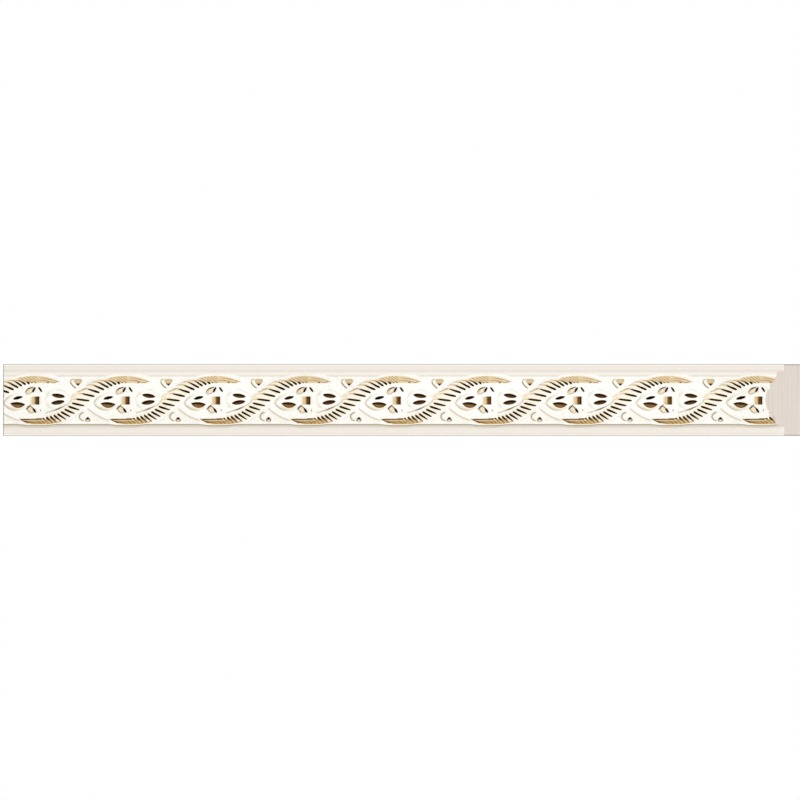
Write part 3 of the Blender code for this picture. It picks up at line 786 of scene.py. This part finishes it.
def satin_paint():
    """Water-based satin paint, sprayed: white on the carving, ivory on the borders, and a wiped patina.

    The eye sees a soft, even white with a fine orange peel, and a warm glaze that stays in the hollows. Shade
    is painted in as well: grey along the forms' edges and near-black in the deepest hollows.
    """
    material, shader = new_material("satin_paint_with_patina_and_painted_shade", 0.42, 1.46)
    shader.inputs["Specular IOR Level"].default_value = 0.2
    place = add_node(material, "ShaderNodeTexCoord").outputs["Object"]
    patina_and_shade, painted_shade, ivory = (
        add_node(material, "ShaderNodeAttribute", {"attribute_name": name}).outputs["Fac"]
        for name in ("patina_and_shade", "painted_shade", "ivory")
    )
    parts = add_node(material, "ShaderNodeSeparateXYZ", links={0: place}).outputs
    # Thin grey edges of painted shade: the rounded arris of both long sides, and the left end
    off_centre = add_node(material, "ShaderNodeMath", {"operation": "ABSOLUTE"}, {0: parts["Z"]}).outputs[0]
    outward = add_node(
        material, "ShaderNodeMath", {"operation": "DIVIDE", 1: HALF_WIDTH * MM}, {0: off_centre}
    ).outputs[0]
    rounded = add_node(
        material, "ShaderNodeMapRange", {"From Min": 0.98, "From Max": 0.985}, {"Value": outward}
    ).outputs[0]
    in_front = add_node(
        material,
        "ShaderNodeMapRange",
        {"From Min": (1.4 - EDGE_DEPTH) * MM, "From Max": (0.8 - EDGE_DEPTH) * MM},
        {"Value": parts["Y"]},
    ).outputs[0]
    rim = add_node(
        material, "ShaderNodeMath", {"operation": "MULTIPLY"}, {0: rounded, 1: in_front}
    ).outputs[0]
    end = add_node(
        material,
        "ShaderNodeMapRange",
        {"From Min": (0.8 - HALF_LENGTH) * MM, "From Max": (0.5 - HALF_LENGTH) * MM},
        {"Value": parts["X"]},
    ).outputs[0]
    arris = add_node(material, "ShaderNodeMath", {"operation": "MAXIMUM"}, {0: rim, 1: end}).outputs[0]
    # The patina gathers in blotches, and only where some was wiped in
    blotches = add_node(
        material,
        "ShaderNodeTexNoise",
        {"Scale": 1 / (BLOTCH * MM), "Detail": 3.0, "Roughness": 0.6},
        {"Vector": place},
    ).outputs["Fac"]
    gathered = add_node(
        material, "ShaderNodeMath", {"operation": "MULTIPLY_ADD", 1: 0.24}, {0: blotches, 2: patina_and_shade}
    ).outputs[0]
    level = add_node(
        material, "ShaderNodeMath", {"operation": "SUBTRACT", 1: 0.12, "use_clamp": True}, {0: gathered}
    ).outputs[0]
    held = add_node(
        material, "ShaderNodeMath", {"operation": "GREATER_THAN", 1: 0.03}, {0: patina_and_shade}
    ).outputs[0]
    strength = add_node(
        material, "ShaderNodeMath", {"operation": "MULTIPLY"}, {0: level, 1: held}
    ).outputs[0]
    # Colour of the patina, whose near-black end is painted shade in the deepest hollows as well as dark
    # patina
    glaze_and_shade = add_node(
        material,
        "ShaderNodeValToRGB",
        links={"Fac": strength},
        ramp=(
            (0.0, "#FFFFFF"),
            (0.18, "#F5EBD6"),
            (0.42, "#D8C092"),
            (0.62, "#AD803F"),
            (0.82, "#5C3712"),
            (1.0, "#080402"),
        ),
    ).outputs["Color"]
    painted_shade_grey = add_node(
        material,
        "ShaderNodeValToRGB",
        links={"Fac": painted_shade},
        ramp=((0.0, "#FFFFFF"), (0.3, "#DDD8CC"), (0.6, "#A8A18C"), (1.0, "#5E5843")),
    ).outputs["Color"]
    drift = add_node(
        material, "ShaderNodeTexNoise", {"Scale": 1 / (DRIFT * MM), "Detail": 2.0}, {"Vector": place}
    ).outputs["Fac"]
    # Ivory of the borders, with a painted shade line and, outside it, a painted highlight near the outer
    # edges
    ivory_with_painted_edge_light_and_shade = add_node(
        material,
        "ShaderNodeValToRGB",
        links={"Fac": outward},
        ramp=(
            (0.92, "#ECE6DE"),
            (0.928, "#DDD6C9"),
            (0.944, "#DDD6C9"),
            (0.953, "#F8F3EA"),
            (0.978, "#F8F3EA"),
            (0.99, "#EEE9E1"),
        ),
    ).outputs["Color"]
    mottled = add_node(
        material, "ShaderNodeMath", {"operation": "MULTIPLY_ADD", 1: 0.4}, {0: drift, 2: blotches}
    ).outputs[0]
    white_tone = add_node(
        material,
        "ShaderNodeValToRGB",
        links={"Fac": mottled},
        ramp=((0.5, "#EEEBE2"), (0.66, "#F7F5EF"), (0.84, "#FBFAF6")),
    ).outputs["Color"]
    paint = add_node(
        material, "ShaderNodeMix", {"data_type": "RGBA"}, {"Factor": ivory, 6: white_tone, 7: ivory_with_painted_edge_light_and_shade}
    ).outputs[2]
    colour = add_node(
        material, "ShaderNodeMix", {"data_type": "RGBA", 7: linear("#9E998F")}, {"Factor": arris, 6: paint}
    ).outputs[2]
    for layer in (painted_shade_grey, glaze_and_shade):
        colour = add_node(
            material,
            "ShaderNodeMix",
            {"data_type": "RGBA", "blend_type": "MULTIPLY", "Factor": 1.0},
            {6: colour, 7: layer},
        ).outputs[2]
    roughness = add_node(
        material, "ShaderNodeMapRange", {"To Min": 0.42, "To Max": 0.7}, {"Value": patina_and_shade}
    ).outputs[0]
    peel = add_node(
        material, "ShaderNodeTexNoise", {"Scale": 1 / (ORANGE_PEEL * MM), "Detail": 2.0}, {"Vector": place}
    ).outputs["Fac"]
    bump = add_node(
        material, "ShaderNodeBump", {"Strength": 0.12, "Distance": 0.05 * MM}, {"Height": peel}
    ).outputs["Normal"]
    links = material.node_tree.links
    links.new(colour, shader.inputs["Base Color"])
    links.new(roughness, shader.inputs["Roughness"])
    links.new(bump, shader.inputs["Normal"])
    return material


def sawn_foam():
    """Rigid foamed polystyrene where a fine saw cut it: matt, warm grey, with closed cells and saw lines, and
    painted shade along its long edges.
    """
    material, shader = new_material("sawn_polystyrene_foam", 0.85, 1.4)
    place = add_node(material, "ShaderNodeTexCoord").outputs["Object"]
    cells = add_node(
        material, "ShaderNodeTexVoronoi", {"Scale": 1 / (FOAM_CELL * MM)}, {"Vector": place}
    ).outputs["Distance"]
    along_cut = add_node(
        material, "ShaderNodeMapping", {"Scale": (1.0, 1.0, STREAK_SHARE)}, {"Vector": place}
    ).outputs[0]
    streaks = add_node(
        material, "ShaderNodeTexNoise", {"Scale": 1 / (SAW_STREAK * MM), "Detail": 3.0}, {"Vector": along_cut}
    ).outputs["Fac"]
    tone = add_node(
        material, "ShaderNodeValToRGB", links={"Fac": streaks}, ramp=((0.35, "#DACFC5"), (0.65, "#E3D9D0"))
    ).outputs["Color"]
    pores = add_node(
        material, "ShaderNodeValToRGB", links={"Fac": cells}, ramp=((0.05, "#EDE6DF"), (0.35, "#FFFFFF"))
    ).outputs["Color"]
    pitted = add_node(
        material,
        "ShaderNodeMix",
        {"data_type": "RGBA", "blend_type": "MULTIPLY", "Factor": 1.0},
        {6: tone, 7: pores},
    ).outputs[2]
    across = add_node(material, "ShaderNodeSeparateXYZ", links={0: place}).outputs["Z"]
    off_centre = add_node(material, "ShaderNodeMath", {"operation": "ABSOLUTE"}, {0: across}).outputs[0]
    # Painted shade: darker grey along the cut face's long edges
    edges = add_node(
        material,
        "ShaderNodeMapRange",
        {"From Min": (HALF_WIDTH - 0.9) * MM, "From Max": (HALF_WIDTH - 0.6) * MM},
        {"Value": off_centre},
    ).outputs[0]
    colour = add_node(
        material, "ShaderNodeMix", {"data_type": "RGBA", 7: linear("#958D82")}, {"Factor": edges, 6: pitted}
    ).outputs[2]
    bump = add_node(
        material, "ShaderNodeBump", {"Strength": 0.4, "Distance": 0.1 * MM}, {"Height": cells}
    ).outputs["Normal"]
    links = material.node_tree.links
    links.new(colour, shader.inputs["Base Color"])
    links.new(bump, shader.inputs["Normal"])
    return material


def extruded_skin():
    """The unpainted back: the foam's own skin, matt and off-white, with long streaks from the die."""
    material, shader = new_material("extruded_foam_skin", 0.6, 1.5)
    place = add_node(material, "ShaderNodeTexCoord").outputs["Object"]
    stretched = add_node(
        material, "ShaderNodeMapping", {"Scale": (STREAK_SHARE, 1.0, 1.0)}, {"Vector": place}
    ).outputs[0]
    streaks = add_node(
        material, "ShaderNodeTexNoise", {"Scale": 1 / (DIE_STREAK * MM), "Detail": 4.0}, {"Vector": stretched}
    ).outputs["Fac"]
    tone = add_node(
        material, "ShaderNodeValToRGB", links={"Fac": streaks}, ramp=((0.3, "#E2DACF"), (0.7, "#EFE9E0"))
    ).outputs["Color"]
    bump = add_node(
        material, "ShaderNodeBump", {"Strength": 0.4, "Distance": 0.1 * MM}, {"Height": streaks}
    ).outputs["Normal"]
    links = material.node_tree.links
    links.new(tone, shader.inputs["Base Color"])
    links.new(bump, shader.inputs["Normal"])
    return material


def add_moulding():
    """The dressed moulding: one closed piece over the solid."""
    mesh = thinned(moulding_loft())
    settle(mesh)
    cut_ends(mesh)
    add_finish_masks(mesh)
    for material in (satin_paint(), sawn_foam(), extruded_skin()):
        mesh.materials.append(material)
    piece = bpy.data.objects.new("carved_moulding", mesh)
    bpy.context.collection.objects.link(piece)
    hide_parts("moulding")
    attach(piece, "root")


# Camera: square to the wall, without perspective, at the photograph's scale
PIXEL = 0.8392 * MM
IMAGE_SIDE = 800
CENTRE_PIXEL = 401.6  # the photograph's column of the moulding's middle
CAMERA_DISTANCE = 1.2


def add_camera():
    """Looks straight at the wall, level with the moulding, from a little left of its middle."""
    camera = bpy.data.objects.new("camera", bpy.data.cameras.new("camera"))
    camera.data.type = "ORTHO"
    camera.data.ortho_scale = IMAGE_SIDE * PIXEL
    camera.location = ((IMAGE_SIDE / 2 - CENTRE_PIXEL) * PIXEL, -CAMERA_DISTANCE, 0)
    camera.rotation_euler = (math.pi / 2, 0, 0)
    bpy.context.collection.objects.link(camera)
    bpy.context.scene.camera = camera


# Light: brightness of the surround at the horizon and overhead, and of the part of it behind the moulding,
# which begins and is whole at these shares of the way back. The key light's place and size are in metres.
HORIZON_LIGHT, OVERHEAD_LIGHT, BEHIND_LIGHT = 1.02, 0.8, 1.0
BEHIND_START, BEHIND_WHOLE = 0.1, 0.7
KEY_PLACE = (0.15, -1.6, 0.45)
KEY_SIZE = 0.8
KEY_POWER = 5.0
FLOOR_BELOW = 0.345  # the moulding hangs: the floor lies just below the picture
FLOOR_REACH = 4.0


def add_surround():
    """White light from all round, which dims towards the top in front, and is even behind the moulding."""
    world = bpy.data.worlds.new("studio")
    bpy.context.scene.world = world
    world.use_nodes = True
    background = world.node_tree.nodes["Background"]
    towards = add_node(world, "ShaderNodeTexCoord").outputs["Generated"]
    parts = add_node(world, "ShaderNodeSeparateXYZ", links={0: towards}).outputs
    front = add_node(
        world,
        "ShaderNodeMapRange",
        {"To Min": HORIZON_LIGHT, "To Max": OVERHEAD_LIGHT},
        {"Value": parts["Z"]},
    ).outputs[0]
    behind = add_node(
        world,
        "ShaderNodeMapRange",
        {"From Min": BEHIND_START, "From Max": BEHIND_WHOLE},
        {"Value": parts["Y"]},
    ).outputs[0]
    level = add_node(
        world, "ShaderNodeMix", {"data_type": "FLOAT", 3: BEHIND_LIGHT}, {"Factor": behind, 2: front}
    ).outputs[0]
    world.node_tree.links.new(level, background.inputs["Strength"])
    background.inputs["Color"].default_value = (1, 1, 1, 1)


def add_key_light():
    """One broad light, nearly in front and a little above, that faces the middle of the moulding."""
    light = bpy.data.objects.new("key", bpy.data.lights.new("key", "AREA"))
    light.data.size = KEY_SIZE
    light.data.energy = KEY_POWER
    light.location = KEY_PLACE
    light.rotation_euler = (-Vector(KEY_PLACE)).to_track_quat("-Z", "Y").to_euler()
    bpy.context.collection.objects.link(light)


def add_floor():
    """A pale, level floor under the hanging moulding."""
    mesh = bpy.data.meshes.new("floor")
    sides = ((-1, -1), (1, -1), (1, 1), (-1, 1))
    corners = [(x * FLOOR_REACH, y * FLOOR_REACH, -FLOOR_BELOW) for x, y in sides]
    mesh.from_pydata(corners, [], [(0, 1, 2, 3)])
    material, shader = new_material("pale_floor", 0.9, 1.45)
    shader.inputs["Base Color"].default_value = linear("#FAF9F7")
    mesh.materials.append(material)
    floor = bpy.data.objects.new("floor", mesh)
    bpy.context.collection.objects.link(floor)


add_camera()
add_moulding()
add_surround()
add_key_light()
add_floor()
bpy.context.scene.view_settings.view_transform = "Standard"
